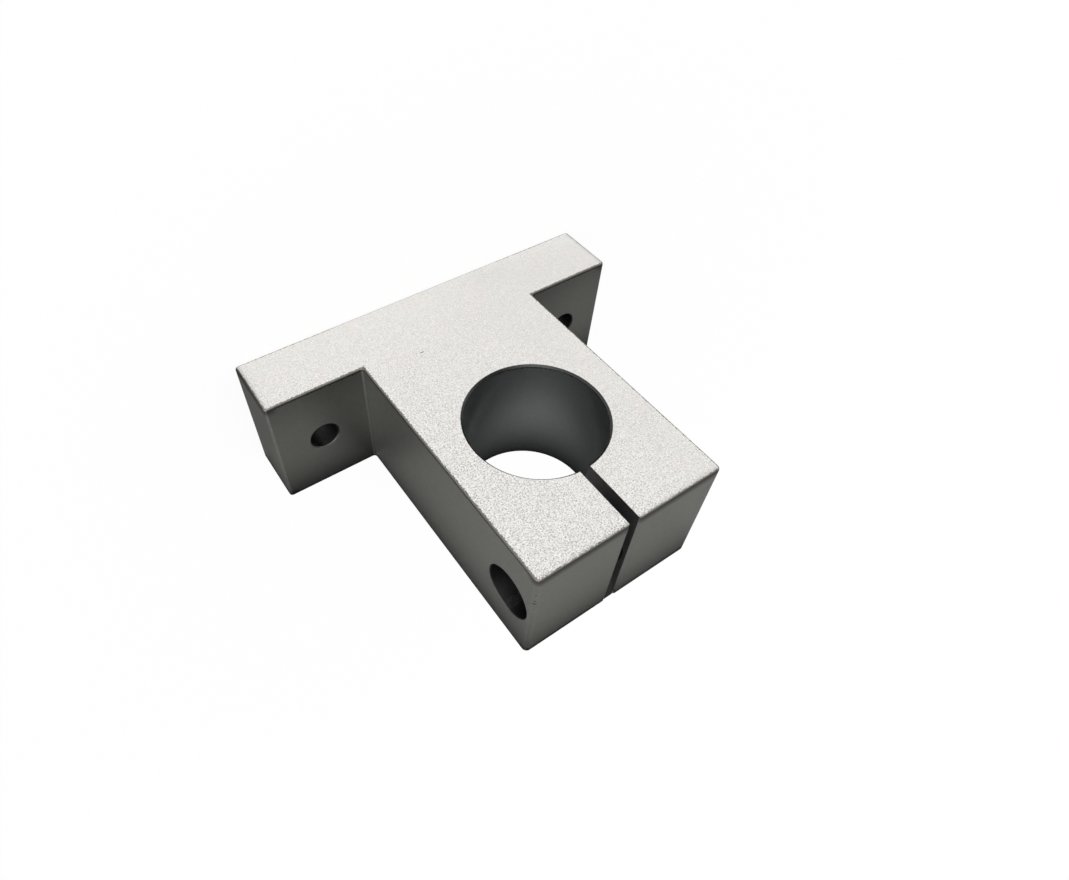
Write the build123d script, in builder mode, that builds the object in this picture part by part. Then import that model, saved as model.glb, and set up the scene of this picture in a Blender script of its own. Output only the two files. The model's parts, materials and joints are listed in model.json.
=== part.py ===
"""Shaft support block for a 20 mm shaft, in millimetres.

The block stands on its base. X runs along the base, Y along the shaft and Z up.
The origin is the middle of the base's underside.
"""

from build123d import *
import os

# Shaft and bore
shaft_diameter = 20.0
bore_clearance = 0.02
shaft_height = 31.0
bore_edge_break = 0.3

# T-shaped outline of the block
base_length = 60.0
base_height = 10.0
stem_width = 30.0
block_thickness = 20.0
root_radius = 0.5
base_corner_radius = 0.5
stem_corner_radius = 0.8
rolled_edge_radius = 0.35

# Saw slit from the bore to the end of the stem
slit_width = 1.7
slit_mouth_break = 0.3

# Clamp screw, a socket head screw that crosses the slit
clamp_screw_diameter = 4.0
clamp_screw_clearance = 0.5
clamp_head_diameter = 7.0
clamp_head_clearance = 1.0
clamp_head_height = 4.0
clamp_head_recess = 1.0
bore_to_screw_wall = 2.74
head_to_end_wall = 1.0
counterbore_edge_break = 0.1
thread_mouth_break = 0.4

# Mounting holes through the base, one in each ledge
mounting_screw_diameter = 4.0
mounting_screw_clearance = 0.5
mounting_hole_inset = 7.5
mounting_edge_break = 0.15

# Sizes that follow from those above
bore_radius = (shaft_diameter + bore_clearance) / 2
screw_hole_radius = (clamp_screw_diameter + clamp_screw_clearance) / 2
thread_radius = clamp_screw_diameter / 2
counterbore_radius = (clamp_head_diameter + clamp_head_clearance) / 2
counterbore_depth = clamp_head_height + clamp_head_recess
clamp_screw_height = shaft_height + bore_radius + bore_to_screw_wall + screw_hole_radius
block_height = clamp_screw_height + counterbore_radius + head_to_end_wall
mounting_hole_radius = (mounting_screw_diameter + mounting_screw_clearance) / 2
mounting_spacing = base_length - 2 * mounting_hole_inset

# Planes that the holes start from, each facing out of the block
front_face = Plane(origin=(0, -block_thickness / 2, shaft_height), z_dir=(0, -1, 0))
screw_head_side = Plane(origin=(stem_width / 2, 0, clamp_screw_height), z_dir=(1, 0, 0))
screw_thread_side = Plane(origin=(-stem_width / 2, 0, clamp_screw_height), z_dir=(-1, 0, 0))
ledges = Plane.XY.offset(base_height)

with BuildPart() as support_block:
    # Outline of the extrusion, seen along the shaft
    with BuildSketch(Plane.XZ):
        with BuildLine():
            Polyline(
                (-base_length / 2, 0),
                (base_length / 2, 0),
                (base_length / 2, base_height),
                (stem_width / 2, base_height),
                (stem_width / 2, block_height),
                (-stem_width / 2, block_height),
                (-stem_width / 2, base_height),
                (-base_length / 2, base_height),
                close=True,
            )
        make_face()
        root_corners = vertices().group_by(Axis.Y)[1].sort_by(Axis.X)[1:3]
        fillet(root_corners, radius=root_radius)
        base_corners = vertices().group_by(Axis.X)[0] + vertices().group_by(Axis.X)[-1]
        fillet(base_corners, radius=base_corner_radius)
        fillet(vertices().group_by(Axis.Y)[-1], radius=stem_corner_radius)
    extrude(amount=block_thickness / 2, both=True)

    # Edges round the two sawn faces, rolled over by the blasting
    fillet(faces().filter_by(Axis.Y).edges(), radius=rolled_edge_radius)

    # Bore for the shaft
    with Locations(front_face):
        Hole(bore_radius)
    chamfer(edges(Select.LAST).filter_by(GeomType.CIRCLE), length=bore_edge_break)

    # Slit that lets the two ears close on the shaft, with a broken mouth
    with BuildSketch(Plane.XZ):
        with Locations((0, shaft_height)):
            Rectangle(slit_width, block_height, align=(Align.CENTER, Align.MIN))
        with BuildLine():
            Polyline(
                (-slit_width / 2 - slit_mouth_break, block_height),
                (slit_width / 2 + slit_mouth_break, block_height),
                (slit_width / 2, block_height - slit_mouth_break),
                (-slit_width / 2, block_height - slit_mouth_break),
                close=True,
            )
        make_face()
    extrude(amount=block_thickness / 2, both=True, mode=Mode.SUBTRACT)

    # Clamp screw: counterbored clearance hole in one ear, thread in the other.
    # The thread's root lies on the wall of its hole.
    with Locations(screw_head_side):
        CounterBoreHole(screw_hole_radius, counterbore_radius, counterbore_depth, depth=stem_width / 2)
    head_rims = edges(Select.LAST).filter_by(GeomType.CIRCLE).group_by(Axis.X)[-1]
    chamfer(head_rims, length=counterbore_edge_break)
    with Locations(screw_thread_side):
        Hole(thread_radius, depth=stem_width / 2)
    thread_rims = edges(Select.LAST).filter_by(GeomType.CIRCLE).group_by(Axis.X)[0]
    chamfer(thread_rims, length=thread_mouth_break)

    # Mounting holes
    with Locations(ledges):
        with GridLocations(mounting_spacing, 0, 2, 1):
            Hole(mounting_hole_radius, depth=base_height)
    chamfer(edges(Select.LAST).filter_by(GeomType.CIRCLE), length=mounting_edge_break)

support_block.part.label = "support_block"

os.makedirs("parts", exist_ok=True)
export_step(support_block.part, "parts/support_block.step")
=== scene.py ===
"""Finish, clamp thread and studio for the shaft support block.

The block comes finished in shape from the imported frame. This script gives it the
look of bead-blasted, clear-anodised aluminium, cuts the turns of the clamp screw's
thread, and sets a pale studio with a camera at the photograph's angle.
Lengths are in metres unless a name ends in _mm.
"""

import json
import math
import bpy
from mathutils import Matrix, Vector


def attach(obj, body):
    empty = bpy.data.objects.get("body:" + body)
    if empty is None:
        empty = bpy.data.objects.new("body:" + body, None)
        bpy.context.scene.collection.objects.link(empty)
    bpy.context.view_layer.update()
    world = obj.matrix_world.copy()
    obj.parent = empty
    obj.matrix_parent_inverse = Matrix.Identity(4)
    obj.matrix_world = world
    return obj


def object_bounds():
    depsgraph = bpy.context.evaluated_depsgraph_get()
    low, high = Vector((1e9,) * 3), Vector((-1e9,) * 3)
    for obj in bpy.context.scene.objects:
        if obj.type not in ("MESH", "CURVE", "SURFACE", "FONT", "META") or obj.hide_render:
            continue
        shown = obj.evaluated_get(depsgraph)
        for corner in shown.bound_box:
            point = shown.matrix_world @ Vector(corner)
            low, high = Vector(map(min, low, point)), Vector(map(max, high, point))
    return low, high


bl_info = {
    "name": "Shaft Support Block",
    "version": (1, 0, 0),
    "blender": (4, 5, 0),
    "location": "View3D > Sidebar > Support Block",
    "description": "Finish, clamp thread and studio for a split shaft support block",
    "category": "Object",
}

import bpy
from mathutils import Matrix, Quaternion, Vector

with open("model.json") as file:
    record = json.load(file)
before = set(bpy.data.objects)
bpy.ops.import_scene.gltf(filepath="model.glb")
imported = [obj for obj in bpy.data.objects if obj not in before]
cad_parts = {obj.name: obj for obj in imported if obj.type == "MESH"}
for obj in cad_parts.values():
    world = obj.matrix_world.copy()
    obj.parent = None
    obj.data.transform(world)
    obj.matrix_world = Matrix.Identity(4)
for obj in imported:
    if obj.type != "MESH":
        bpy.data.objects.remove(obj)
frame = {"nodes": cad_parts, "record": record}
cad_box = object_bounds()

BODY = "root"
NODE = "support_block"
MM = 0.001
WHITE = (1.0, 1.0, 1.0, 1.0)
QUARTER_TURN = math.pi / 2
RECTANGLE = [range(4)]  # the faces of a mesh that is one rectangle

# Places of the colour sockets of a Mix node
MIX_FIRST = 6
MIX_SECOND = 7
MIX_RESULT = 2

# A face is square to an axis when its normal's share along that axis is over SQUARE
SQUARE = 0.97

# How far each zone of the finish reaches past its stated place
SEAM_MM = 0.03  # at the level of the ledges and beside the walls of the slit
RIM_MM = 0.5  # over the broken edges of the bore, and in from the stem's sides
HOLE_RIM_MM = 0.16  # over the broken edges of the other holes
ROOT_MM = 0.5  # over the fillets between the stem and the ledges

# The painted shade of the rolled edges round the sawn faces
ROLL_MM = 0.3  # reach over a sawn face
SIDE_ROLL_MM = 0.45  # reach over the side beside it
RAGGED_MM = 0.8  # swing of its border with the grain

# The same painted shade at the ends of the stem and the base, where it is wider and softer
END_ROLL_MM = 1.0  # width
END_ROLL_DARKNESS = 0.88  # share of the edge colour on an end
END_ROLL_FADE = 2.2  # power with which it fades over a sawn face
END_RAGGED_SHARE = 0.6  # how ragged it is beside the other edges
END_WIDTHS = 1.5  # widths that it reaches over an end
ALONG_SIDE_WIDTHS = 2.0  # widths from an end where only the plain rolled edge is left

# Repeats of each pattern in a millimetre, along X, Y and Z where they differ
BLOTCHES_PER_MM = 1.1
PATCHES_PER_MM = 0.12
TINTS_PER_MM = 0.35
TURNED_MARKS_PER_MM = (0.2, 5.0, 0.2)

# Specks in the width of a dimple, and how sharply the clouds of tint stand out
SPECKS_PER_DIMPLE = 1.4
TINT_CONTRAST = 3.0

# How coarse the grain is
FOOT_COARSENESS = 0.42  # at the foot of a sawn face
HEIGHT_COARSENESS = 0.9  # gained up to the end of the stem
ACROSS_COARSENESS = 1.3  # gained with the height towards the counterbored side
MOST_COARSENESS = 1.4  # where it grows no more
SIDE_COARSENESS = 0.24  # on the extruded sides

# How much each pattern lightens and darkens the metal
GRAIN_SHADE = 1.5
SPECK_SHADE = 0.35
BLOTCH_SHADE = 0.12
PATCH_SHADE = 0.06

# How much darker some places are: painted shade on the ledges and in the fillets at the stem's foot, and
# the handling marks
LEDGE_PAINTED_SHADE = 0.25  # the ledges
LEDGE_CORNER_PAINTED_SHADE = 0.15  # added on a ledge beside the stem
CORNER_FADE_MM = 10.0  # distance from the stem at which that ends
LEDGE_SIDE_PAINTED_SHADE = 0.25  # added on a ledge beside the sawn faces
LEDGE_SIDE_POWER = 2.0  # power with which that grows away from the ledge's middle
ROOT_PAINTED_SHADE = 0.25  # the fillets at the foot of the stem
MARK_SHADE = 0.6  # the handling marks

# Roughness and relief of each surface
SAWN_ROUGHNESS = 0.06  # added on the sawn faces
GRAIN_ROUGHNESS = 0.3  # swing with the grain
BORE_SMOOTHNESS = 0.13  # taken off in the bore
TURNED_ROUGHNESS = 0.1  # swing with the bore's turned marks
TURNED_RELIEF = 0.04  # height of those marks beside the grain's

# Small handling marks: the middle of each and how far it reaches along X, Y and Z
MARKS_MM = (
    ((6.3, -10.0, 11.8), (0.35, 0.3, 0.1)),
    ((14.8, -4.3, 50.8), (0.35, 0.13, 0.35)),
    ((14.8, -5.0, 50.8), (0.22, 0.1, 0.22)),
    ((14.8, -6.5, 50.8), (0.18, 0.08, 0.18)),
)

# The ridge of the clamp screw's thread
FOOT_SHARE = 7 / 8  # share of the pitch that a metric ridge takes at its foot
CREST_SHARE = 1 / 4  # share of the pitch at its crest
RUN_OUT_TURNS = 0.5  # turns over which it runs out at each end
RUN_OUT_END = 0.05  # what is left of it at its tip
SINK = 0.00003  # how far its foot is sunk in the wall

# The metal of the thread, with fine marks of the cutter and broader smears
CUT_MARKS_PER_MM = (14.0, 0.6, 0.6)
SMEARS_PER_MM = 1.3
THREAD_SHADE = 0.85
CUT_MARK_SHADE = 0.2
SMEAR_SHADE = 0.1
THREAD_ROUGHNESS = 0.22
CUT_MARK_ROUGHNESS = 0.2
CUT_MARK_DEPTH = 0.000005
CUT_MARK_STRENGTH = 0.6

# Floor, sky, lamp and camera
FLOOR_NEAR = 0.88  # share of full white that the floor shows beside the block
FLOOR_FADE = 0.2  # distance at which it shows full white
SKY_LIGHT = 0.75  # grey of the sky where it lights the block
LAMP_TARGET = (0.0, 0.0, 0.025)
SENSOR_WIDTH_MM = 36.0
CLIP_START = 0.001

# Glowing cards that stand in for the grey table and room, which the block mirrors: painted reflections
# that only mirrored rays see. The table card holds a painted shadow round the block and painted light
# behind the bore, and the slit card is a painted shadow that the camera sees
CARD_BLUE = 0.97  # blue of their warm grey beside its red and green
CARD_GAP = 0.00002  # gap between a card and the block or the floor
CARD_INSET = 0.00013  # how far the table card goes in behind the rolled edges
CARD_SIDES = 48  # sides of the table card's disc behind the bore
BORE_FADE = 1.3  # power with which that disc gets darker away from its middle
CORNER_HEIGHT = 0.025  # height over a ledge at which the table card is as light as elsewhere
SLIT_CARD_DROP = 0.00022  # how far the cards in and behind the slit end below the stem's end
SLIT_CARD_DEPTH = 0.0033  # how far the card in the slit goes in from the back
SLIT_CARD_SLOPE = 0.26  # how steeply it falls on the way
TOP_CARD_HEIGHT = 0.15
TOP_CARD_LEFT = -0.2
TOP_CARD_RIGHT = 0.1
TOP_CARD_FRONT = -0.13
FLOOR_CARD_RIGHT = 0.12
FLOOR_CARD_FRONT = -0.015

MOUNTS = {mount["name"]: mount for mount in frame["record"]["mounts"]}


def mount_centre(name):
    """The place of a mount in the block's frame."""
    return Vector(MOUNTS[name]["pos_m"])


def mount_size(name, size):
    """One stated size of a mount, in metres."""
    return MOUNTS[name]["dims"][size] * MM


def half_stem_width(above):
    """Half the width of the block above a height."""
    vertices = frame["nodes"][NODE].data.vertices
    return max(vertex.co.x for vertex in vertices if vertex.co.z > above)


HALF_LENGTH, HALF_THICKNESS, HEIGHT = cad_box[1]
BASE_HEIGHT = mount_centre("mounting_holes").z
BORE_HEIGHT = mount_centre("shaft_bore").z
BORE_RADIUS = mount_size("shaft_bore", "r_mm")
HALF_STEM = half_stem_width(BORE_HEIGHT)


class BlockFinishSettings(bpy.types.PropertyGroup):
    """Colours and grain of the block's surfaces."""

    sawn_colour: bpy.props.FloatVectorProperty(
        name="Sawn face colour",
        description="Colour of the two blasted faces that the bore goes through",
        subtype="COLOR",
        size=3,
        min=0.0,
        max=1.0,
        default=(0.838, 0.828, 0.795),
    )
    sawn_tint: bpy.props.FloatVectorProperty(
        name="Sawn face tint",
        description="Colour of the warmer clouds on the two blasted faces",
        subtype="COLOR",
        size=3,
        min=0.0,
        max=1.0,
        default=(0.85, 0.825, 0.797),
    )
    side_colour: bpy.props.FloatVectorProperty(
        name="Side colour",
        description="Colour of the smoother extruded sides",
        subtype="COLOR",
        size=3,
        min=0.0,
        max=1.0,
        default=(0.60, 0.60, 0.575),
    )
    # Painted shade: the dark that light gives the rounded edges, put into their colour
    rolled_edge_shade_colour: bpy.props.FloatVectorProperty(
        name="Edge colour",
        description="Colour of the rolled edges round the sawn faces",
        subtype="COLOR",
        size=3,
        min=0.0,
        max=1.0,
        default=(0.23, 0.22, 0.195),
    )
    # Partly painted shade: the bore's own blue-grey, darkened for the shade inside the bore
    bore_grey_and_shade: bpy.props.FloatVectorProperty(
        name="Bore colour",
        description="Colour of the reamed wall of the shaft bore",
        subtype="COLOR",
        size=3,
        min=0.0,
        max=1.0,
        default=(0.38, 0.405, 0.41),
    )
    # Painted shade: the bore's broken edges, nearly black so the dark of the hole reaches over them
    bore_edge_shade: bpy.props.FloatVectorProperty(
        name="Bore edge colour",
        description="Colour of the bore's broken edges",
        subtype="COLOR",
        size=3,
        min=0.0,
        max=1.0,
        default=(0.06, 0.063, 0.06),
    )
    slit_colour: bpy.props.FloatVectorProperty(
        name="Slit colour",
        description="Colour of the walls of the saw slit",
        subtype="COLOR",
        size=3,
        min=0.0,
        max=1.0,
        default=(0.5, 0.5, 0.5),
    )
    # Painted shade: the dark inside the drilled holes and on the slit's walls round the screw hole
    hole_shade_colour: bpy.props.FloatVectorProperty(
        name="Hole colour",
        description="Colour of the walls of the drilled holes",
        subtype="COLOR",
        size=3,
        min=0.0,
        max=1.0,
        default=(0.14, 0.14, 0.14),
    )
    grain_size: bpy.props.FloatProperty(
        name="Grain size",
        description="Width of one dimple left by the blasting",
        unit="LENGTH",
        min=0.00002,
        default=0.0002,
    )
    grain_depth: bpy.props.FloatProperty(
        name="Grain depth",
        description="Depth of the dimples left by the blasting",
        unit="LENGTH",
        min=0.0,
        default=0.000012,
    )
    grain_contrast: bpy.props.FloatProperty(
        name="Grain contrast",
        description="How much a dimple's shade departs from the colour of the face",
        subtype="FACTOR",
        min=0.0,
        max=1.0,
        default=1.0,
    )
    side_roughness: bpy.props.FloatProperty(
        name="Side roughness",
        description="Roughness of the extruded sides",
        subtype="FACTOR",
        min=0.0,
        max=1.0,
        default=0.4,
    )
    slit_width: bpy.props.FloatProperty(
        name="Slit width",
        description="Width of the saw slit between the two ears",
        unit="LENGTH",
        min=0.0,
        default=0.0017,
    )


class ClampThreadSettings(bpy.types.PropertyGroup):
    """Sizes of the clamp screw's thread."""

    pitch: bpy.props.FloatProperty(
        name="Pitch",
        description="Distance from one turn of the thread to the next",
        unit="LENGTH",
        min=0.0001,
        default=0.0007,
    )
    ridge_height: bpy.props.FloatProperty(
        name="Ridge height",
        description="How far the ridge stands in from the wall of the hole",
        unit="LENGTH",
        min=0.0,
        default=0.00038,
    )
    end_gap: bpy.props.FloatProperty(
        name="End gap",
        description="Length of plain hole left at each end of the thread",
        unit="LENGTH",
        min=0.0,
        default=0.00015,
    )
    steps_per_turn: bpy.props.IntProperty(
        name="Steps per turn",
        description="Straight stretches in one turn of the ridge",
        min=8,
        default=40,
    )
    colour: bpy.props.FloatVectorProperty(
        name="Thread colour",
        description="Colour of the cut metal of the ridge",
        subtype="COLOR",
        size=3,
        min=0.0,
        max=1.0,
        default=(0.55, 0.55, 0.54),
    )


class StudioSettings(bpy.types.PropertyGroup):
    """Camera, lamp, floor and grey cards."""

    camera_place: bpy.props.FloatVectorProperty(
        name="Camera place",
        description="Where the camera stands",
        subtype="TRANSLATION",
        unit="LENGTH",
        size=3,
        default=(0.04353, -0.08219, 0.07773),
    )
    camera_target: bpy.props.FloatVectorProperty(
        name="Camera target",
        description="The point in the block that the camera looks at",
        subtype="TRANSLATION",
        unit="LENGTH",
        size=3,
        default=(0.00427, 0.0024, 0.02618),
    )
    camera_roll: bpy.props.FloatProperty(
        name="Camera roll",
        description="How far the camera is turned about its line of sight",
        subtype="ANGLE",
        default=math.radians(139.3),
    )
    focal_length_mm: bpy.props.FloatProperty(
        name="Focal length",
        description="Focal length, in millimetres, of a lens on a 36 mm wide sensor",
        min=1.0,
        default=23.93,
    )
    camera_shift: bpy.props.FloatVectorProperty(
        name="Camera shift",
        description="How far the picture's middle lies off the line of sight, as a share of its width",
        size=2,
        default=(0.0441, 0.0225),
    )
    lamp_place: bpy.props.FloatVectorProperty(
        name="Lamp place",
        description="Where the soft lamp stands",
        subtype="TRANSLATION",
        unit="LENGTH",
        size=3,
        default=(0.15, -0.35, 0.45),
    )
    lamp_width: bpy.props.FloatProperty(
        name="Lamp width",
        description="Width and height of the soft lamp",
        unit="LENGTH",
        min=0.01,
        default=0.5,
    )
    lamp_power: bpy.props.FloatProperty(
        name="Lamp power",
        description="Power of the soft lamp",
        unit="POWER",
        min=0.0,
        default=1.2,
    )
    floor_width: bpy.props.FloatProperty(
        name="Floor width",
        description="Width and depth of the floor",
        unit="LENGTH",
        min=0.1,
        default=12.0,
    )
    card_reach: bpy.props.FloatProperty(
        name="Card reach",
        description="How far the table card goes from the block's middle",
        unit="LENGTH",
        min=0.06,
        default=0.2,
    )
    # Painted shadow and light on the table card: its contact shadow round the block, deeper between the
    # stem and a ledge, and light behind the bore
    card_shadow_fade: bpy.props.FloatProperty(
        name="Card fade",
        description="Distance from the block over which the table card gets lighter",
        unit="LENGTH",
        min=0.0001,
        default=0.005,
    )
    card_corner_shadow: bpy.props.FloatProperty(
        name="Table card corner",
        description="Share of the table card's brightness that is left between the stem and a ledge",
        subtype="FACTOR",
        min=0.0,
        max=1.0,
        default=0.7,
    )
    card_near_shadow: bpy.props.FloatProperty(
        name="Table card near",
        description="Brightness of the table card beside the block",
        subtype="FACTOR",
        min=0.0,
        max=1.0,
        default=0.02,
    )
    card_far: bpy.props.FloatProperty(
        name="Table card far",
        description="Brightness of the table card away from the block",
        subtype="FACTOR",
        min=0.0,
        max=1.0,
        default=0.215,
    )
    card_bore_light: bpy.props.FloatProperty(
        name="Table card in the bore",
        description="Brightness of the table card behind the middle of the bore",
        subtype="FACTOR",
        min=0.0,
        max=1.0,
        default=0.38,
    )
    # Painted shadow: the dark card that the camera sees in the open end of the slit
    slit_shadow_grey: bpy.props.FloatProperty(
        name="Slit card",
        description="Brightness of the card in the open end of the slit",
        subtype="FACTOR",
        min=0.0,
        max=1.0,
        default=0.026,
    )
    # Painted reflections: the dark cards on the floor and overhead that only mirrored rays see
    card_floor: bpy.props.FloatProperty(
        name="Floor card",
        description="Brightness of the card on the floor beside the base",
        subtype="FACTOR",
        min=0.0,
        max=1.0,
        default=0.1,
    )
    card_top: bpy.props.FloatProperty(
        name="Top card",
        description="Brightness of the card above the block",
        subtype="FACTOR",
        min=0.0,
        max=1.0,
        default=0.08,
    )


class Value:
    """A socket of a node tree, whose arithmetic adds Math nodes."""

    def __init__(self, tree, socket):
        self.tree = tree
        self.socket = socket

    def math(self, operation, *others, clamp=False):
        """A Math node on this value and the others."""
        settings = {"operation": operation, "use_clamp": clamp}
        inputs = dict(enumerate((self, *others)))
        return self.tree.value("ShaderNodeMath", settings, inputs)

    def reflected(self, operation, other):
        """A Math node with this value in second place."""
        return self.tree.value("ShaderNodeMath", {"operation": operation}, {0: other, 1: self})

    def __add__(self, other):
        return self.math("ADD", other)

    def __radd__(self, other):
        return self.reflected("ADD", other)

    def __sub__(self, other):
        return self.math("SUBTRACT", other)

    def __rsub__(self, other):
        return self.reflected("SUBTRACT", other)

    def __mul__(self, other):
        return self.math("MULTIPLY", other)

    def __rmul__(self, other):
        return self.reflected("MULTIPLY", other)

    def __truediv__(self, other):
        return self.math("DIVIDE", other)

    def __lt__(self, other):
        return self.math("LESS_THAN", other)

    def __gt__(self, other):
        return self.math("GREATER_THAN", other)

    def __abs__(self):
        return self.math("ABSOLUTE")

    def __pow__(self, other):
        return self.math("POWER", other)

    def clamped(self):
        """The value, kept between 0 and 1."""
        return self.math("ADD", 0.0, clamp=True)


class Tree:
    """A node tree that is built by calls."""

    def __init__(self, tree):
        self.tree = tree
        self.tree.nodes.clear()

    def node(self, kind, settings=None, inputs=None):
        """A new node with its settings made and its sockets set or linked."""
        made = self.tree.nodes.new(kind)
        for name, setting in (settings or {}).items():
            setattr(made, name, setting)
        for name, value in (inputs or {}).items():
            if isinstance(value, Value):
                self.tree.links.new(value.socket, made.inputs[name])
            else:
                made.inputs[name].default_value = value
        return made

    def value(self, kind, settings=None, inputs=None, output=0):
        """One output of a new node."""
        return Value(self, self.node(kind, settings, inputs).outputs[output])

    def split(self, vector):
        """The three parts of a vector."""
        parts = self.node("ShaderNodeSeparateXYZ", inputs={0: vector})
        return [Value(self, output) for output in parts.outputs]

    def scaled(self, vector, scale):
        """A vector or colour times a number."""
        return self.value("ShaderNodeVectorMath", {"operation": "SCALE"}, {0: vector, "Scale": scale})

    def stretched(self, vector, scale):
        """A vector with each part scaled by its own number."""
        return self.value("ShaderNodeVectorMath", {"operation": "MULTIPLY"}, {0: vector, 1: scale})

    def noise(self, vector, scale=1.0, detail=2.0, roughness=0.5):
        """Smooth random values about a half."""
        inputs = {"Vector": vector, "Scale": scale, "Detail": detail, "Roughness": roughness}
        return self.value("ShaderNodeTexNoise", inputs=inputs)

    def specks(self, vector, scale):
        """Cells that each have one random value from 0 to 1."""
        inputs = {"Vector": vector, "Scale": scale}
        return self.split(self.value("ShaderNodeTexVoronoi", inputs=inputs, output="Color"))[0]

    def mix_colour(self, factor, first, second):
        """A blend of two colours."""
        settings = {"data_type": "RGBA"}
        inputs = {"Factor": factor, MIX_FIRST: first, MIX_SECOND: second}
        return self.value("ShaderNodeMix", settings, inputs, output=MIX_RESULT)

    def mix_shader(self, factor, first, second):
        """A blend of two surfaces."""
        return self.value("ShaderNodeMixShader", inputs={0: factor, 1: first, 2: second})

    def glow(self, colour):
        """A surface that gives off a colour at the strength at which it is written."""
        return self.value("ShaderNodeEmission", inputs={"Color": colour, "Strength": 1.0})

    def show(self, surface):
        """Make a surface the one that the material has."""
        self.node("ShaderNodeOutputMaterial", inputs={"Surface": surface})


def new_material(name):
    """An empty material and its tree."""
    material = bpy.data.materials.new(name)
    material.use_nodes = True
    return material, Tree(material.node_tree)


def new_object(name, data):
    """An object in the scene for a mesh, camera or lamp."""
    made = bpy.data.objects.new(name, data)
    bpy.context.scene.collection.objects.link(made)
    return made


def opaque(colour):
    """A colour with full alpha."""
    return (*colour, 1.0)


def distance(first, second):
    """Length of the vector whose two parts are given."""
    return (first * first + second * second) ** 0.5


def show_metal(tree, colour, roughness, height, depth, strength=1.0):
    """Make metal with a relief the surface of a tree's material."""
    inputs = {"Strength": strength, "Distance": depth, "Height": height}
    bump = tree.value("ShaderNodeBump", inputs=inputs)
    inputs = {"Base Color": colour, "Metallic": 1.0, "Roughness": roughness, "Normal": bump}
    tree.show(tree.value("ShaderNodeBsdfPrincipled", inputs=inputs))


def outline_distances(x, z, per_metre=1.0):
    """How far a place lies outside the stem and outside the base.

    per_metre is how many of the place's units make a metre.
    """
    from_stem = (abs(x) - HALF_STEM * per_metre).math("MAXIMUM", z - HEIGHT * per_metre)
    from_base = (abs(x) - HALF_LENGTH * per_metre).math("MAXIMUM", z - BASE_HEIGHT * per_metre)
    return from_stem, from_base


class SurfacePlace:
    """A place on the surface, in millimetres, and how squarely its face looks along each axis."""

    def __init__(self, tree):
        self.vector = tree.scaled(tree.value("ShaderNodeTexCoord", output="Object"), 1 / MM)
        self.x, self.y, self.z = tree.split(self.vector)
        normal = tree.value("ShaderNodeNewGeometry", output="True Normal")
        self.facing_x, self.facing_y, self.facing_z = (abs(part) for part in tree.split(normal))
        self.sawn = self.facing_y > SQUARE
        self.from_stem, self.from_base = outline_distances(self.x, self.z, 1 / MM)


def in_rolled_edge_shade(place, grain):
    """1 where the rolled edges of the sawn faces get painted shade, which is wider and softer at the
    ends.
    """
    uneven = (grain - 0.5) * RAGGED_MM
    to_end = (HALF_LENGTH / MM - abs(place.x)).math("MINIMUM", HEIGHT / MM - place.z)
    to_sawn = HALF_THICKNESS / MM - abs(place.y)
    border = place.from_stem.math("MINIMUM", place.from_base.math("MAXIMUM", 0.0 - place.z))
    end_roll = 1.0 - (to_end + uneven * END_RAGGED_SHARE) / END_ROLL_MM
    on_face = (border > uneven - ROLL_MM).math("MAXIMUM", end_roll.clamped() ** END_ROLL_FADE)
    near_end = (ALONG_SIDE_WIDTHS - to_end / END_ROLL_MM).clamped()
    over_end = (END_WIDTHS - to_sawn / END_ROLL_MM).clamped() * END_ROLL_DARKNESS
    on_side = near_end * over_end + (1.0 - near_end) * (to_sawn < SIDE_ROLL_MM - uneven)
    return place.sawn * on_face + (1.0 - place.sawn) * on_side


def in_bore(place):
    """1 on the wall of the shaft bore and on its broken edges."""
    near = distance(place.x, place.z - BORE_HEIGHT / MM) < BORE_RADIUS / MM + RIM_MM
    return near * (place.facing_y < SQUARE)


def in_slit(place, slit_width):
    """1 on the walls of the saw slit."""
    near = abs(place.x) < slit_width / MM / 2 + SEAM_MM
    return near * (place.z > BORE_HEIGHT / MM) * (place.facing_y < SQUARE)


def in_screw_hole(place):
    """1 in the clamp screw's hole, on its edges, and on the slit's walls close round it."""
    screw_height_mm = mount_centre("clamp_screw_head").z / MM
    reach_mm = mount_size("clamp_screw_head", "r_mm") / MM + HOLE_RIM_MM
    near = distance(place.y, place.z - screw_height_mm) < reach_mm
    on_stem_side = (place.facing_x > SQUARE) * (abs(place.x) > HALF_STEM / MM - RIM_MM)
    return near * (1.0 - on_stem_side)


def in_mounting_hole(place):
    """1 on the walls and edges of the two mounting holes."""
    offset_mm = mount_size("mounting_holes", "spacing_x_mm") / MM / 2
    reach_mm = mount_size("mounting_holes", "hole_r_mm") / MM + HOLE_RIM_MM
    near = distance(abs(place.x) - offset_mm, place.y) < reach_mm
    return near * (place.facing_z < SQUARE)


def on_ledge(place):
    """1 on the flats of the two ledges."""
    base_mm = BASE_HEIGHT / MM
    return (place.facing_z > SQUARE) * (place.z < base_mm + SEAM_MM) * (place.z > base_mm - SEAM_MM)


def in_root(place):
    """1 in the fillets between the stem and the ledges."""
    near = (place.from_stem < ROOT_MM) * (place.from_base < ROOT_MM)
    near = near * (place.z > BASE_HEIGHT / MM - SEAM_MM)
    return near * (1.0 - place.sawn) * (place.facing_z < SQUARE) * (place.facing_x < SQUARE)


def at_mark(tree, place, middle, reach):
    """1 inside the small oval of one handling mark."""
    offset = tree.value("ShaderNodeVectorMath", {"operation": "SUBTRACT"}, {0: place.vector, 1: middle})
    oval = tree.stretched(offset, tuple(1 / part for part in reach))
    return tree.value("ShaderNodeVectorMath", {"operation": "LENGTH"}, {0: oval}, output=1) < 1.0


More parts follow.
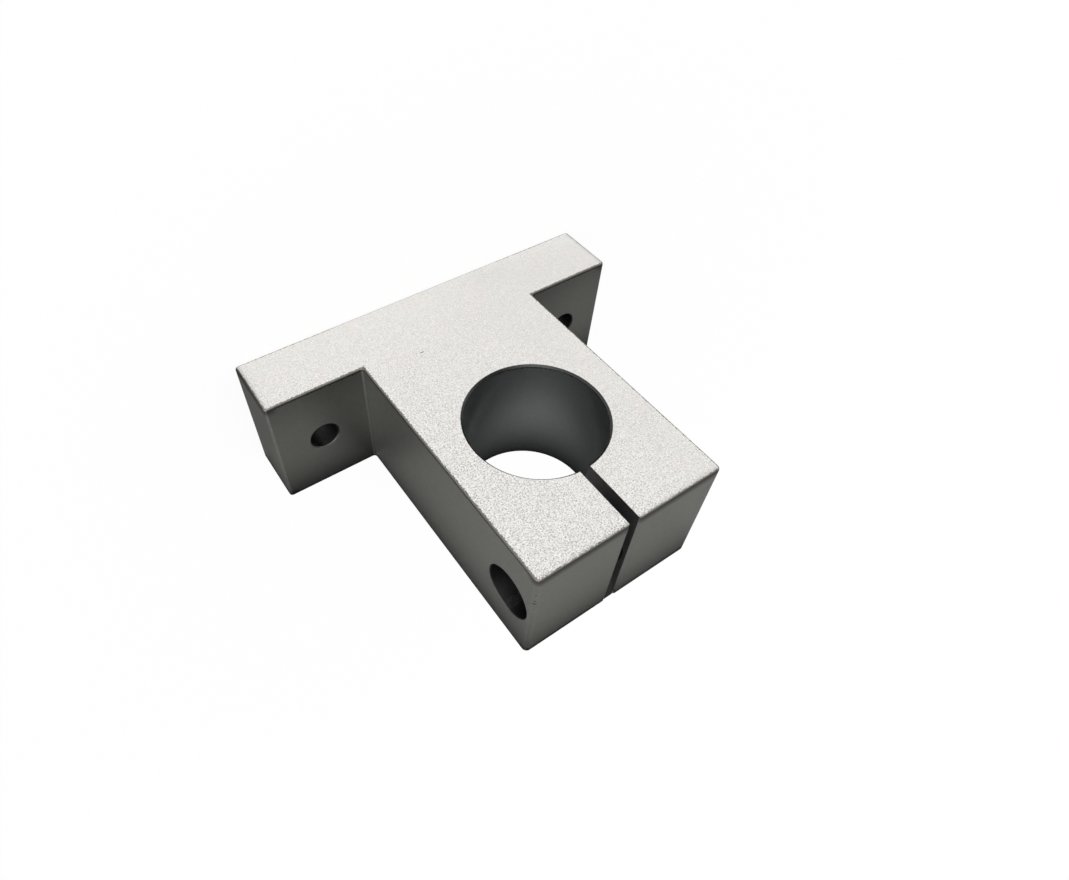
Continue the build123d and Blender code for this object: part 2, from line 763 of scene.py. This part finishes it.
def grain_coarseness(place):
    """How strong the grain is: it grows towards the stem's end and the counterbored side."""
    height_share = place.z / (HEIGHT / MM)
    across_share = place.x / (HALF_LENGTH / MM)
    coarseness = FOOT_COARSENESS + height_share * (HEIGHT_COARSENESS + across_share * ACROSS_COARSENESS)
    coarseness = coarseness.math("MINIMUM", MOST_COARSENESS)
    return place.sawn * coarseness + (1.0 - place.sawn) * SIDE_COARSENESS


def block_colour(tree, settings, place, edge, bore):
    """The plain colour of each surface of the block, with painted shade on the rolled edges, in the bore
    and in the holes.
    """
    tint = tree.noise(place.vector, TINTS_PER_MM)
    tint = ((tint - 0.5) * TINT_CONTRAST + 0.5).clamped()
    blasted = tree.mix_colour(tint, opaque(settings.sawn_colour), opaque(settings.sawn_tint))
    colour = tree.mix_colour(place.sawn, opaque(settings.side_colour), blasted)
    layers = (
        (edge, settings.rolled_edge_shade_colour),
        (bore, settings.bore_grey_and_shade),
        (bore * edge, settings.bore_edge_shade),
        (in_slit(place, settings.slit_width), settings.slit_colour),
        ((in_screw_hole(place) + in_mounting_hole(place)).clamped(), settings.hole_shade_colour),
    )
    for zone, zone_colour in layers:
        colour = tree.mix_colour(zone, colour, opaque(zone_colour))
    return colour


def block_shade(tree, settings, place, grain, coarseness):
    """How light the metal is beside its plain colour: its grain and handling marks, with painted shade
    on the ledges and in the root fillets.
    """
    specks = tree.specks(place.vector, SPECKS_PER_DIMPLE * MM / settings.grain_size)
    blotches = tree.noise(place.vector, BLOTCHES_PER_MM)
    patches = tree.noise(place.vector, PATCHES_PER_MM, detail=3.0, roughness=0.55)
    speckle = (grain - 0.5) * GRAIN_SHADE + (specks - 0.5) * SPECK_SHADE
    shade = 1.0 + speckle * settings.grain_contrast * coarseness
    shade = shade + (blotches - 0.5) * BLOTCH_SHADE + (patches - 0.5) * PATCH_SHADE

    # Painted shade on the ledges, deeper beside the stem and towards the sawn faces, and in the root
    # fillets
    by_stem = (1.0 - place.from_stem / CORNER_FADE_MM).clamped()
    by_sawn = (abs(place.y) / (HALF_THICKNESS / MM)) ** LEDGE_SIDE_POWER
    ledge_painted_shade = LEDGE_PAINTED_SHADE + LEDGE_CORNER_PAINTED_SHADE * by_stem + LEDGE_SIDE_PAINTED_SHADE * by_sawn
    shade = shade * (1.0 - on_ledge(place) * ledge_painted_shade)
    shade = shade * (1.0 - in_root(place) * ROOT_PAINTED_SHADE)
    for middle, reach in MARKS_MM:
        shade = shade * (1.0 - at_mark(tree, place, middle, reach) * MARK_SHADE)
    return shade


def block_material(settings):
    """Blasted faces, broken edges, a reamed bore and cut holes, told apart by place and facing."""
    material, tree = new_material("blasted_anodised_aluminium")
    place = SurfacePlace(tree)
    grain = tree.noise(place.vector, MM / settings.grain_size, roughness=0.65)
    coarseness = grain_coarseness(place)
    edge = in_rolled_edge_shade(place, grain)
    bore = in_bore(place)
    colour = block_colour(tree, settings, place, edge, bore)
    shade = block_shade(tree, settings, place, grain, coarseness)

    turned_place = tree.stretched(place.vector, TURNED_MARKS_PER_MM)
    turned = tree.noise(turned_place, detail=3.0, roughness=0.6)
    roughness = settings.side_roughness + place.sawn * SAWN_ROUGHNESS
    roughness = roughness + (grain - 0.5) * GRAIN_ROUGHNESS * coarseness
    roughness = roughness + bore * (turned * TURNED_ROUGHNESS - BORE_SMOOTHNESS)
    height = grain * coarseness * (1.0 - bore) + bore * turned * TURNED_RELIEF
    show_metal(tree, tree.scaled(colour, shade), roughness, height, settings.grain_depth)
    return material


class SUPPORTBLOCK_OT_finish_block(bpy.types.Operator):
    """Give the block its blasted and anodised finish"""

    bl_idname = "supportblock.finish_block"
    bl_label = "Finish Block"

    def execute(self, context):
        block = frame["nodes"][NODE]
        material = block_material(context.scene.block_finish)
        for slot in block.material_slots:
            slot.material = material
        return {"FINISHED"}


def thread_material(settings):
    """Bright cut metal with fine marks round the axis of the hole."""
    material, tree = new_material("cut_thread_metal")
    place_mm = tree.scaled(tree.value("ShaderNodeTexCoord", output="Object"), 1 / MM)
    marks = tree.noise(tree.stretched(place_mm, CUT_MARKS_PER_MM), detail=3.0, roughness=0.6)
    smears = tree.noise(place_mm, SMEARS_PER_MM)
    shade = THREAD_SHADE + marks * CUT_MARK_SHADE + smears * SMEAR_SHADE
    colour = tree.scaled(tuple(settings.colour), shade)
    roughness = THREAD_ROUGHNESS + marks * CUT_MARK_ROUGHNESS
    show_metal(tree, colour, roughness, marks, CUT_MARK_DEPTH, CUT_MARK_STRENGTH)
    return material


def thread_turns():
    """Geometry nodes that wind a thread's ridge along X and run it out at both ends."""
    group = bpy.data.node_groups.new("thread_turns", "GeometryNodeTree")
    tree = Tree(group)
    group.interface.new_socket("Geometry", in_out="OUTPUT", socket_type="NodeSocketGeometry")
    for name in ("Wall radius", "Length", "Pitch", "Ridge height", "Sink"):
        group.interface.new_socket(name, in_out="INPUT", socket_type="NodeSocketFloat")
    group.interface.new_socket("Steps per turn", in_out="INPUT", socket_type="NodeSocketInt")
    group.interface.new_socket("Start", in_out="INPUT", socket_type="NodeSocketVector")
    group.interface.new_socket("Material", in_out="INPUT", socket_type="NodeSocketMaterial")
    sockets = tree.node("NodeGroupInput").outputs
    given = {socket.name: Value(tree, socket) for socket in sockets if socket.name}

    turns = given["Length"] / given["Pitch"]
    helix = tree.value(
        "GeometryNodeCurveSpiral",
        inputs={
            "Resolution": given["Steps per turn"],
            "Rotations": turns,
            "Start Radius": given["Wall radius"],
            "End Radius": given["Wall radius"],
            "Height": given["Length"],
            "Reverse": True,
        },
    )
    helix = tree.value("GeometryNodeSetCurveNormal", {"mode": "Z_UP"}, {"Curve": helix})
    depth = given["Ridge height"] + given["Sink"]
    section = tree.value(
        "GeometryNodeCurvePrimitiveQuadrilateral",
        {"mode": "TRAPEZOID"},
        {
            "Height": depth,
            "Bottom Width": given["Pitch"] * FOOT_SHARE,
            "Top Width": given["Pitch"] * CREST_SHARE,
            "Offset": 0.0,
        },
    )
    inwards = tree.value("ShaderNodeCombineXYZ", inputs={"X": given["Sink"] - depth / 2})
    section = tree.value(
        "GeometryNodeTransform",
        inputs={"Geometry": section, "Translation": inwards, "Rotation": (0.0, 0.0, QUARTER_TURN)},
    )
    turn = tree.value("GeometryNodeSplineParameter") * turns
    run_out = turn.math("MINIMUM", turns - turn) / RUN_OUT_TURNS
    thickness = run_out.math("MINIMUM", 1.0).math("MAXIMUM", RUN_OUT_END)
    ridge = tree.value(
        "GeometryNodeCurveToMesh",
        inputs={"Curve": helix, "Profile Curve": section, "Scale": thickness, "Fill Caps": True},
    )
    ridge = tree.value(
        "GeometryNodeTransform",
        inputs={
            "Geometry": ridge,
            "Translation": given["Start"],
            "Rotation": (0.0, QUARTER_TURN, 0.0),
        },
    )
    ridge = tree.value("GeometryNodeRealizeInstances", inputs={"Geometry": ridge})
    finish = {"Geometry": ridge, "Material": given["Material"]}
    ridge = tree.value("GeometryNodeSetMaterial", inputs=finish)
    tree.node("NodeGroupOutput", inputs={"Geometry": ridge})
    return group


def grown(name, group, sizes):
    """A plain mesh object made by a group of geometry nodes from the sizes given by name."""
    made = new_object(name, bpy.data.meshes.new(name))
    modifier = made.modifiers.new(group.name, "NODES")
    modifier.node_group = group
    for socket in group.interface.items_tree:
        if socket.in_out == "INPUT":
            modifier[socket.identifier] = sizes[socket.name]
    graph = bpy.context.evaluated_depsgraph_get()
    mesh = bpy.data.meshes.new_from_object(made.evaluated_get(graph))
    mesh.name = name
    made.modifiers.clear()
    made.data = mesh
    return made


class SUPPORTBLOCK_OT_cut_thread(bpy.types.Operator):
    """Wind the clamp screw's thread inside the ear that has no counterbore"""

    bl_idname = "supportblock.cut_thread"
    bl_label = "Cut Clamp Thread"

    def execute(self, context):
        settings = context.scene.clamp_thread
        length = mount_size("clamp_screw_thread", "length_mm") - 2 * settings.end_gap
        start = mount_centre("clamp_screw_thread") - Vector((length / 2, 0, 0))
        thread = grown(
            "clamp_thread",
            thread_turns(),
            {
                "Wall radius": mount_size("clamp_screw_thread", "r_mm"),
                "Length": length,
                "Pitch": settings.pitch,
                "Ridge height": settings.ridge_height,
                "Sink": SINK,
                "Steps per turn": settings.steps_per_turn,
                "Start": start,
                "Material": thread_material(settings),
            },
        )
        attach(thread, BODY)
        return {"FINISHED"}


def backdrop_seen(tree):
    """1 for the rays that show the white background: from the camera, a mirror or glass."""
    path = tree.node("ShaderNodeLightPath")
    camera = Value(tree, path.outputs["Is Camera Ray"])
    glossy = Value(tree, path.outputs["Is Glossy Ray"])
    transmission = Value(tree, path.outputs["Is Transmission Ray"])
    return (camera + glossy + transmission).clamped()


def flat_object(name, points, faces, material):
    """An object of flat faces with one material."""
    mesh = bpy.data.meshes.new(name)
    mesh.from_pydata(points, [], faces)
    mesh.materials.append(material)
    return new_object(name, mesh)


def make_floor(width):
    """A white floor that keeps a faint shadow."""
    material, tree = new_material("white_floor")
    lit = tree.value("ShaderNodeBsdfDiffuse", inputs={"Color": WHITE})
    x, y, _ = tree.split(tree.value("ShaderNodeTexCoord", output="Object"))
    away = (distance(x, y) / FLOOR_FADE).clamped()
    shown = backdrop_seen(tree) * (FLOOR_NEAR + away * (1.0 - FLOOR_NEAR))
    tree.show(tree.mix_shader(shown, lit, tree.glow(WHITE)))
    half = width / 2
    corners = [(-half, -half, 0), (half, -half, 0), (half, half, 0), (-half, half, 0)]
    floor = flat_object("floor", corners, RECTANGLE, material)


def make_world():
    """An even white sky: full white where it is seen, a plain studio level where it lights."""
    world = bpy.data.worlds.new("studio")
    bpy.context.scene.world = world
    world.use_nodes = True
    tree = Tree(world.node_tree)
    colour = tree.mix_colour(backdrop_seen(tree), (SKY_LIGHT, SKY_LIGHT, SKY_LIGHT, 1.0), WHITE)
    sky = tree.value("ShaderNodeBackground", inputs={"Color": colour, "Strength": 1.0})
    tree.node("ShaderNodeOutputWorld", inputs={"Surface": sky})


def card_tint(grey):
    """The colour of a card of one grey."""
    return (grey, grey, CARD_BLUE * grey)


def make_card(name, points, faces, material, on_camera=False):
    """A card without a shadow that only mirrored rays see, or else only the camera."""
    card = flat_object(name, points, faces, material)
    card.visible_camera = on_camera
    card.visible_glossy = not on_camera
    card.visible_diffuse = False
    card.visible_shadow = False


def make_level_card(name, left, right, front, height, grey):
    """A level card of one grey, from a front edge to just behind the block."""
    back = HALF_THICKNESS + CARD_GAP
    points = [(left, front, height), (right, front, height), (right, back, height), (left, back, height)]
    material, tree = new_material(name + "_paint")
    tree.show(tree.glow(opaque(card_tint(grey))))
    make_card(name, points, RECTANGLE, material)


def table_card_shape(reach, slit_width):
    """Rectangles round the block and behind its slit, and a disc behind its bore."""
    depth = HALF_THICKNESS + CARD_GAP
    stem_edge = HALF_STEM - CARD_INSET
    base_edge = HALF_LENGTH - CARD_INSET
    ledge = BASE_HEIGHT - CARD_INSET
    slit_edge = slit_width / 2 + CARD_GAP
    rectangles = [
        (-stem_edge, HEIGHT - CARD_INSET, stem_edge, reach),
        (-slit_edge, BORE_HEIGHT + BORE_RADIUS, slit_edge, HEIGHT - SLIT_CARD_DROP),
    ]
    for side in (1, -1):
        rectangles.append((side * stem_edge, ledge, side * reach, reach))
        rectangles.append((side * base_edge, CARD_GAP, side * reach, ledge))
    points = []
    faces = []
    for left, low, right, high in rectangles:
        faces.append(range(len(points), len(points) + 4))
        points += [(left, depth, low), (right, depth, low), (right, depth, high), (left, depth, high)]
    faces.append(range(len(points), len(points) + CARD_SIDES))
    for step in range(CARD_SIDES):
        angle = math.tau * step / CARD_SIDES
        x = BORE_RADIUS * math.cos(angle)
        points.append((x, depth, BORE_HEIGHT + BORE_RADIUS * math.sin(angle)))
    return points, faces


def table_card_shadow_and_light(settings):
    """Grey with a painted contact shadow close to the block, deeper between the stem and a ledge, and
    painted light behind the middle of the bore.
    """
    material, tree = new_material("table_card_shadow_and_light")
    x, _, z = tree.split(tree.value("ShaderNodeTexCoord", output="Object"))
    from_stem, from_base = outline_distances(x, z)
    outside = (from_stem.math("MINIMUM", from_base) / settings.card_shadow_fade).clamped()
    above_ledge = ((z - BASE_HEIGHT) / CORNER_HEIGHT).clamped()
    unshadowed_share = settings.card_corner_shadow + (1.0 - settings.card_corner_shadow) * above_ledge
    bore_light_share = (1.0 - distance(x, z - BORE_HEIGHT) / BORE_RADIUS).clamped() ** BORE_FADE
    grey = settings.card_near_shadow + (settings.card_far - settings.card_near_shadow) * outside * unshadowed_share
    grey = grey + bore_light_share * settings.card_bore_light
    tree.show(tree.glow(tree.scaled(card_tint(1.0), grey)))
    return material


def make_table_card(settings, slit_width):
    """The table, as a card round the block at the level of its back face."""
    points, faces = table_card_shape(settings.card_reach, slit_width)
    make_card("table_card", points, faces, table_card_shadow_and_light(settings))


def make_slit_shadow_card(settings, slit_width):
    """A painted shadow: the table's dark in the open end of the slit, clear from its lower side.

    The card rises towards the back. A level camera in front looks up along it, and one
    that stands a little higher behind looks down along it, so both see only its edge.
    """
    half = slit_width / 2 - CARD_GAP
    back = HALF_THICKNESS
    front = back - SLIT_CARD_DEPTH
    high = HEIGHT - SLIT_CARD_DROP
    low = high - SLIT_CARD_DEPTH * SLIT_CARD_SLOPE
    points = [(-half, front, low), (half, front, low), (half, back, high), (-half, back, high)]
    material, tree = new_material("slit_shadow_paint")
    paint = tree.glow(opaque(card_tint(settings.slit_shadow_grey)))
    clear = tree.value("ShaderNodeBsdfTransparent", inputs={"Color": WHITE})
    below = tree.value("ShaderNodeNewGeometry", output="Backfacing")
    tree.show(tree.mix_shader(below, paint, clear))
    make_card("slit_shadow_card", points, RECTANGLE, material, on_camera=True)


def aim(made, place, target, roll=0.0):
    """Put a camera or a lamp at a place, pointed at a target and turned about that line."""
    place = Vector(place)
    upright = (Vector(target) - place).to_track_quat("-Z", "Y")
    turn = upright @ Quaternion((0.0, 0.0, 1.0), roll)
    made.matrix_world = Matrix.Translation(place) @ turn.to_matrix().to_4x4()


def make_camera(settings):
    """The camera at the photograph's angle."""
    data = bpy.data.cameras.new("photo_camera")
    data.sensor_width = SENSOR_WIDTH_MM
    data.lens = settings.focal_length_mm
    data.shift_x, data.shift_y = settings.camera_shift
    data.clip_start = CLIP_START
    camera = new_object("photo_camera", data)
    aim(camera, settings.camera_place, settings.camera_target, settings.camera_roll)
    bpy.context.scene.camera = camera


def make_lamp(settings):
    """A soft square lamp."""
    data = bpy.data.lights.new("soft_lamp", "AREA")
    data.size = settings.lamp_width
    data.energy = settings.lamp_power
    aim(new_object("soft_lamp", data), settings.lamp_place, LAMP_TARGET)


class SUPPORTBLOCK_OT_set_stage(bpy.types.Operator):
    """Set the pale floor, the soft light, the grey cards and the camera"""

    bl_idname = "supportblock.set_stage"
    bl_label = "Set Stage"

    def execute(self, context):
        settings = context.scene.block_studio
        slit_width = context.scene.block_finish.slit_width
        make_floor(settings.floor_width)
        make_world()
        make_lamp(settings)
        make_table_card(settings, slit_width)
        make_slit_shadow_card(settings, slit_width)
        # Dark cards that only mirrored rays see: painted dark reflections on the floor beside the base
        # and overhead
        make_level_card(
            "floor_card",
            HALF_LENGTH + CARD_GAP,
            FLOOR_CARD_RIGHT,
            FLOOR_CARD_FRONT,
            CARD_GAP,
            settings.card_floor,
        )
        make_level_card(
            "top_card",
            TOP_CARD_LEFT,
            TOP_CARD_RIGHT,
            TOP_CARD_FRONT,
            TOP_CARD_HEIGHT,
            settings.card_top,
        )
        make_camera(settings)
        context.scene.view_settings.view_transform = "Standard"
        return {"FINISHED"}


class SUPPORTBLOCK_PT_panel(bpy.types.Panel):
    """The steps that dress the block"""

    bl_label = "Support Block"
    bl_space_type = "VIEW_3D"
    bl_region_type = "UI"
    bl_category = "Support Block"

    def draw(self, context):
        scene = context.scene
        for settings in (scene.block_finish, scene.clamp_thread, scene.block_studio):
            column = self.layout.column()
            for name in settings.bl_rna.properties.keys():
                if name not in ("name", "rna_type"):
                    column.prop(settings, name)
        for operator in STEPS:
            self.layout.operator(operator.bl_idname)


STEPS = (
    SUPPORTBLOCK_OT_finish_block,
    SUPPORTBLOCK_OT_cut_thread,
    SUPPORTBLOCK_OT_set_stage,
)
CLASSES = (
    BlockFinishSettings,
    ClampThreadSettings,
    StudioSettings,
    *STEPS,
    SUPPORTBLOCK_PT_panel,
)


def register():
    """Add the classes, and their settings to the scene."""
    for cls in CLASSES:
        bpy.utils.register_class(cls)
    bpy.types.Scene.block_finish = bpy.props.PointerProperty(type=BlockFinishSettings)
    bpy.types.Scene.clamp_thread = bpy.props.PointerProperty(type=ClampThreadSettings)
    bpy.types.Scene.block_studio = bpy.props.PointerProperty(type=StudioSettings)


def unregister():
    """Take the settings and the classes away again."""
    del bpy.types.Scene.block_studio
    del bpy.types.Scene.clamp_thread
    del bpy.types.Scene.block_finish
    for cls in reversed(CLASSES):
        bpy.utils.unregister_class(cls)


def main():
    """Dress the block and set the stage."""
    register()
    bpy.ops.supportblock.finish_block()
    bpy.ops.supportblock.cut_thread()
    bpy.ops.supportblock.set_stage()


if __name__ == "__main__":
    main()
